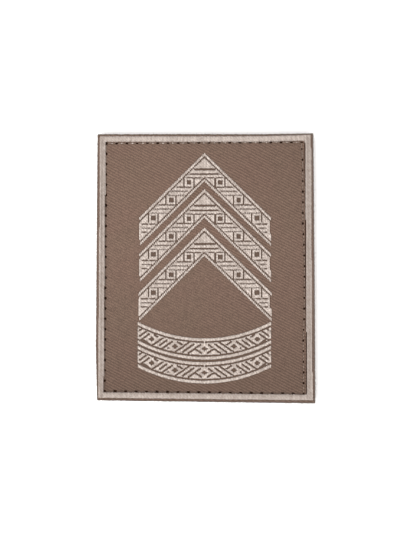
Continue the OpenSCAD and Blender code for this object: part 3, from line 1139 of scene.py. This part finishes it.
def foot_line():
    """The line of the groove in the cloth along the inner edge of the border's right side."""
    inner = face_loops("border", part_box("border")[0].z)[-1]
    side = inner[inner[:, 0] > inner[:, 0].max() - BORDER_WANDER]
    side = side[np.argsort(side[:, 1])]
    ys = np.arange(side[0, 1], side[-1, 1], FOOT_STEP)
    stray = np.random.default_rng(4).uniform(-FOOT_STRAY, FOOT_STRAY, len(ys))
    xs = np.interp(ys, side[:, 1], side[:, 0]) - FOOT_GAP + stray
    points = [(x, y, 0.0) for x, y in zip(xs, ys)]
    return point_mesh("foot_line", points, [(i, i + 1) for i in range(len(points) - 1)])


# Light knots on the top side of the seam: their place between two holes, how deep they sit, half
# their size, and by what share place and size vary
KNOT_SHARE = 0.48
KNOT_SINK = 0.14 * MM
KNOT_HALF_SIZE = (0.26 * MM, 0.17 * MM, 0.15 * MM)
KNOT_STRAY = 0.06
KNOT_SPREAD = 0.2
# How much shade is painted on the knots from left to right
KNOT_PAINTED_SHADE = ((-30 * MM, 0.0, 30 * MM), (0.2, 0.5, 0.8))


def knot_points(corners, rng):
    """A point at each knot, with the knot's half size and how much shade is painted on it."""
    points, sizes, dull = [], [], []
    top = dict(seam_sides(corners))["top"]
    for place, after in zip(top, top[1:]):
        share = KNOT_SHARE + rng.uniform(-KNOT_STRAY, KNOT_STRAY)
        points.append((*(place + (after - place) * share), FACE_Z - KNOT_SINK))
        spread = (1 - KNOT_SPREAD, 1 + KNOT_SPREAD)
        sizes.append([half * rng.uniform(*spread) for half in KNOT_HALF_SIZE])
        dull.append(float(np.interp(place[0], *KNOT_PAINTED_SHADE)))
    return point_mesh("knot_points", points, half_size=sizes, dull=dull)


def knot_tree():
    graph = GeometryGraph("knots", {})
    return graph.close(graph.beads(graph.given["Geometry"]))


def stitch_lines(corners, level):
    """The seam's line from hole to hole, with each hole's number on its side."""
    points, edges, stitches = [], [], []
    for name, places in seam_sides(corners):
        for i, place in enumerate(places):
            if i:
                edges.append((len(points) - 1, len(points)))
            points.append((*place, level))
            stitches.append(i)
    return point_mesh("stitch_lines", points, edges, stitch=stitches)


def stitch_tree():
    """Two twisted plies that dip into a needle hole at every whole stitch."""
    graph = GeometryGraph("stitches", {
        "Ply Width": "Float", "Twist Length": "Float", "Ring Spacing": "Float",
        "Dip": "Float", "Sides": "Int",
    })
    given = graph.given
    dip_sharpness = 12.0
    line = graph.resample(graph.curve_of(given["Geometry"]), given["Ring Spacing"])
    x, y, z = graph.split(graph.place())
    turn = graph.noted("stitch") * math.pi
    down = graph.math("ABSOLUTE", graph.math("COSINE", turn)) ** dip_sharpness
    line = graph.move(line, graph.xyz(x, y, down * given["Dip"] + z))
    line = graph.out("GeometryNodeSetCurveNormal", {"Curve": line}, mode="Z_UP")
    along = graph.out("GeometryNodeSplineParameter", pick="Length")
    angle = along / given["Twist Length"] * (2 * math.pi)
    normal = graph.out("GeometryNodeInputNormal")
    side = graph.vector("CROSS_PRODUCT", normal, graph.out("GeometryNodeInputTangent"))
    section = graph.ellipse(given["Sides"], given["Ply Width"], given["Ply Width"])
    plies = []
    for start in (0.0, math.pi):
        up = graph.vector("SCALE", normal, graph.math("SINE", angle + start))
        out = graph.vector("SCALE", side, graph.math("COSINE", angle + start))
        offset = graph.vector("SCALE", graph.vector("ADD", up, out), given["Ply Width"] * 0.5)
        plies.append(graph.tube(graph.shift(line, offset), section))
    return graph.close(graph.join(plies))


# Hooks and cut fibres

def spread_tree(name, spine):
    """A small tube bent along a spine, set at every point of the mesh and turned to its heading.
    The spine gives x and z from a share of the way along it."""
    graph = GeometryGraph(name, {
        "Reach": "Float", "Curl": "Float", "Width": "Float", "Rings": "Int", "Sides": "Int",
        "Least": "Float", "Most": "Float", "Lean": "Float", "Seed": "Int",
    })
    given = graph.given
    line = graph.ringed(graph.out("GeometryNodeCurvePrimitiveLine"), given["Rings"])
    share = graph.out("GeometryNodeSplineParameter", pick="Factor")
    spine_x, spine_z = spine(graph, share)
    line = graph.move(line, graph.xyz(spine_x, 0.0, spine_z))
    section = graph.ellipse(given["Sides"], given["Width"], given["Width"])
    tube = graph.tube(line, section, normal="MINIMUM_TWIST")
    lean = graph.random((-1, -1, -1), (1, 1, 1), given["Seed"], "FLOAT_VECTOR")
    lean = graph.vector("SCALE", lean, given["Lean"])
    heading = graph.vector("ADD", graph.noted("heading", "FLOAT_VECTOR"), lean)
    axes = {"Primary Axis": heading, "Secondary Axis": (0, 0, 1)}
    turned = graph.out("FunctionNodeAxesToRotation", axes, primary_axis="X", secondary_axis="Z")
    spread = graph.out("GeometryNodeInstanceOnPoints", {
        "Points": given["Geometry"], "Instance": tube, "Rotation": turned,
        "Scale": graph.random(given["Least"], given["Most"], given["Seed"]),
    })
    return graph.close(spread)


def hook_spine(graph, share):
    """Down a stem and round into a hook that turns back up."""
    stem_share = 0.5
    round_angle = math.radians(205)
    reach, curl = graph.given["Reach"], graph.given["Curl"]
    down = graph.math("MINIMUM", share / stem_share, 1.0)
    turned = graph.math("MAXIMUM", share - stem_share, 0.0)
    angle = turned * (round_angle / (1 - stem_share))
    drop = graph.math("SINE", angle) * curl + down * reach
    return (1 - graph.math("COSINE", angle)) * curl, -drop


def fibre_spine(graph, share):
    """Outwards, and bending down more and more."""
    return share * graph.given["Reach"], -(share * share * graph.given["Curl"])


HOOK_PITCH = (1.5 * MM, 1.3 * MM)
# How far hooks keep from their outline and from the seam, and how deep they root in the tape
HOOK_MARGIN = 0.5 * MM
SEAM_CLEARANCE = 0.8 * MM
HOOK_ROOT = 0.05 * MM
# Hooks head up and down the patch in turn, row by row, and this much to the right
HOOK_TURN = 0.35
# The seam's sides are taken to run on by this share of their length past both ends
PAST_ENDS = 0.02


def hook_points(corners):
    """Staggered rows of hooks inside the hooks' outline. They leave the seam's line free."""
    low, high = hook_edge.min(axis=0), hook_edge.max(axis=0)
    points, headings = [], []
    for row in range(int((high[1] - low[1]) / HOOK_PITCH[1])):
        start, way = (0.5, 1.0) if row % 2 else (1.0, -1.0)
        y = low[1] + (row + 0.5) * HOOK_PITCH[1]
        x = low[0] + start * HOOK_PITCH[0]
        while x < high[0]:
            on_seam = near_line((x, y), corners, SEAM_CLEARANCE)
            if inside((x, y), hook_edge, HOOK_MARGIN) and not on_seam:
                points.append((x, y, TAPE_BACK_Z + HOOK_ROOT))
                headings.append((HOOK_TURN, way, 0.0))
            x += HOOK_PITCH[0]
    return point_mesh("hook_points", points, heading=headings)


def inside(point, loop, margin):
    """Whether a point lies inside a convex outline, further than the margin from it."""
    return bool(np.all(np.sum((loop - point) * side_normals(loop), axis=1) > margin))


def near_line(point, loop, margin):
    """Whether a point is nearer than the margin to any side of an outline."""
    distances = np.abs(np.sum((loop - point) * side_normals(loop), axis=1))
    along = np.roll(loop, -1, axis=0) - loop
    share = np.sum((point - loop) * along, axis=1) / np.sum(along * along, axis=1)
    return bool(np.any((distances < margin) & (share > -PAST_ENDS) & (share < 1 + PAST_ENDS)))


# Loose fibres: the steps along the cut at which they can be, the share of the steps that have one,
# and how far above the cloth's back and below its face they stay
FIBRE_STEP = 0.8 * MM
FIBRE_SHARE = 0.6
FIBRE_LEVELS = (0.15 * MM, 0.35 * MM)


def fibre_points(rng):
    """Points on the cut edge, at random heights in the cloth, heading outwards."""
    points, outward = points_along(cut_edge, FIBRE_STEP)
    keep = rng.random(len(points)) < FIBRE_SHARE
    lowest, highest = CLOTH_BACK_Z + FIBRE_LEVELS[0], FACE_Z - FIBRE_LEVELS[1]
    levels = rng.uniform(lowest, highest, len(points))
    places = [(x, y, z) for (x, y), z in zip(points[keep], levels[keep])]
    headings = [(x, y, 0.0) for x, y in outward[keep]]
    return point_mesh("fibre_points", places, heading=headings)


# Making the pieces

corners = seam_corners()
rng = np.random.default_rng(7)

twill_cloth_material = twill_material()
light_thread = light_thread_material()
seam_thread = seam_thread_material()
tape_cloth = tape_material()
hook_nylon = hook_material()

seam_places = np.concatenate([places[:-1] for name, places in seam_sides(corners)])
seam_ring = helper(ring_mesh("seam_ring", seam_places, 0.0))
hole_points = helper(needle_holes(corners, rng))
foot_edge = helper(foot_line())
twill = grow(
    "twill_cloth", ring_mesh("cut_edge", cut_edge, 0.0), ribbed_sheet_tree(True),
    columns=160, column_width=COLUMN, picks=540, pick=PICK, rib_picks=float(RIB_PICKS),
    slope=RIB_SLOPE, rib_height=0.14 * MM, rib_wander=0.22, middle=AXIS_X, face_level=FACE_Z,
    thickness=FACE_Z - CLOTH_BACK_Z, edge_spacing=0.18 * MM, edge_wander=0.35 * MM,
    wander_size=0.5 * MM, rim_width=0.6 * MM, rim_drop=0.22 * MM, seed=3,
    seam_line=seam_ring, channel_width=0.55 * MM, channel_depth=0.24 * MM,
    pull_width=1.1 * MM, pull_depth=0.12 * MM, needle_holes=hole_points,
    foot_line=foot_edge, foot_width=0.34 * MM, foot_depth=0.42 * MM,
    material=twill_cloth_material,
)
mark_lace(twill.data)
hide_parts("ground_cloth")
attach(twill, "root")
for thing in (seam_ring, hole_points, foot_edge):
    bpy.data.objects.remove(thing)

thread_tree = woven_thread_tree()
for name in INSIGNIA:
    weave(
        name, thread_tree, light_thread, INSIGNIA_ROOM, free_end=0.42 * MM,
        gap_level=FACE_Z + 0.12 * MM, gap_shade=1.0, wander=0.07 * MM,
        end_length=0.22 * MM, end_depth=0.18 * MM, tie_depth=0.09 * MM,
        fold_level=NEVER, least_folded=NEVER,
    )
weave(
    "border", thread_tree, light_thread, BORDER_ROOM,
    gap_level=FACE_Z + 0.3 * MM, gap_shade=0.0, wander=0.2 * MM,
    end_length=0.12 * MM, end_depth=0.1 * MM, tie_depth=0.06 * MM,
    fold_level=BORDER_TOP_Z - 0.1 * MM, fold_gain=3.5, least_folded=LEAST_FOLDED,
)

seam = grow(
    "seam_thread", stitch_lines(corners, FACE_Z - 0.16 * MM), stitch_tree(),
    ply_width=0.17 * MM, twist_length=0.95 * MM, ring_spacing=0.16 * MM, dip=-0.75 * MM, sides=6,
    material=seam_thread,
)
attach(seam, "root")
knots = grow("seam_knots", knot_points(corners, rng), knot_tree(), material=light_thread)
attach(knots, "root")

tape = grow(
    "hook_tape", ring_mesh("tape_edge", tape_edge * (-1, 1), 0.0), ribbed_sheet_tree(False),
    columns=110, column_width=0.65 * MM, picks=400, pick=0.22 * MM, rib_picks=6.0,
    slope=0.0, rib_height=0.12 * MM, rib_wander=0.15, middle=0.0, face_level=-TAPE_BACK_Z,
    thickness=TAPE_FACE_Z - TAPE_BACK_Z, edge_spacing=0.5 * MM, edge_wander=0.12 * MM,
    wander_size=1.0 * MM, rim_width=0.4 * MM, rim_drop=0.15 * MM, seed=5, material=tape_cloth,
)
tape.data.transform(Matrix.Rotation(math.pi, 4, "Y"))
hooks = grow(
    "hook_field", hook_points(corners), spread_tree("hooks", hook_spine),
    reach=0.72 * MM, curl=0.2 * MM, width=0.18 * MM, rings=7, sides=5,
    least=0.97, most=1.0, lean=0.18, seed=11, material=hook_nylon,
)
for piece in (tape, hooks):
    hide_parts("hook_backing")
    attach(piece, "root")

fibres = grow(
    "edge_fibres", fibre_points(rng), spread_tree("fibres", fibre_spine),
    reach=0.4 * MM, curl=0.12 * MM, width=0.035 * MM, rings=4, sides=4,
    least=0.4, most=1.3, lean=0.7, seed=13, material=twill_cloth_material,
)
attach(fibres, "root")

tuple(cut_edge.max(axis=0) - cut_edge.min(axis=0))
loop_area(cut_edge)


# Floor, lights and camera

FLOOR_HALF = 2.0
WINDOW_PLACE = (-0.5, -0.5, 0.9)
WINDOW_SIZE = 0.6
WINDOW_WATTS = 8.6
SKY_COLOR = (1.0, 0.99, 0.98, 1)
SKY_STRENGTH = 1.385
SENSOR_WIDTH = 36

floor_mesh = bpy.data.meshes.new("floor")
floor_mesh.from_pydata(
    [(sx * FLOOR_HALF, sy * FLOOR_HALF, 0) for sx, sy in ((-1, -1), (1, -1), (1, 1), (-1, 1))],
    [], [(0, 1, 2, 3)],
)
floor = helper(floor_mesh)
floor_mesh.materials.append(floor_material())

scene = bpy.context.scene
world = bpy.data.worlds.new("soft_light")
world.use_nodes = True
sky = world.node_tree.nodes["Background"].inputs
sky["Color"].default_value = SKY_COLOR
sky["Strength"].default_value = SKY_STRENGTH
scene.world = world


def area_light(name, place, size, watts):
    """A square soft light that faces the patch."""
    data = bpy.data.lights.new(name, "AREA")
    data.size = size
    data.energy = watts
    light = bpy.data.objects.new(name, data)
    light.location = place
    light.rotation_euler = (-light.location).to_track_quat("-Z", "Y").to_euler()
    scene.collection.objects.link(light)


area_light("window", WINDOW_PLACE, WINDOW_SIZE, WINDOW_WATTS)

camera_data = bpy.data.cameras.new("camera")
camera_data.sensor_width = SENSOR_WIDTH
camera_data.lens = SENSOR_WIDTH * CAMERA_HEIGHT / (IMAGE_H / PIXELS_PER_MM * MM)
camera_data.clip_start = 0.01
camera = bpy.data.objects.new("camera", camera_data)
camera.location = (*PHOTO_MIDDLE, FACE_Z + CAMERA_HEIGHT)
scene.collection.objects.link(camera)
scene.camera = camera
scene.view_settings.view_transform = "Standard"
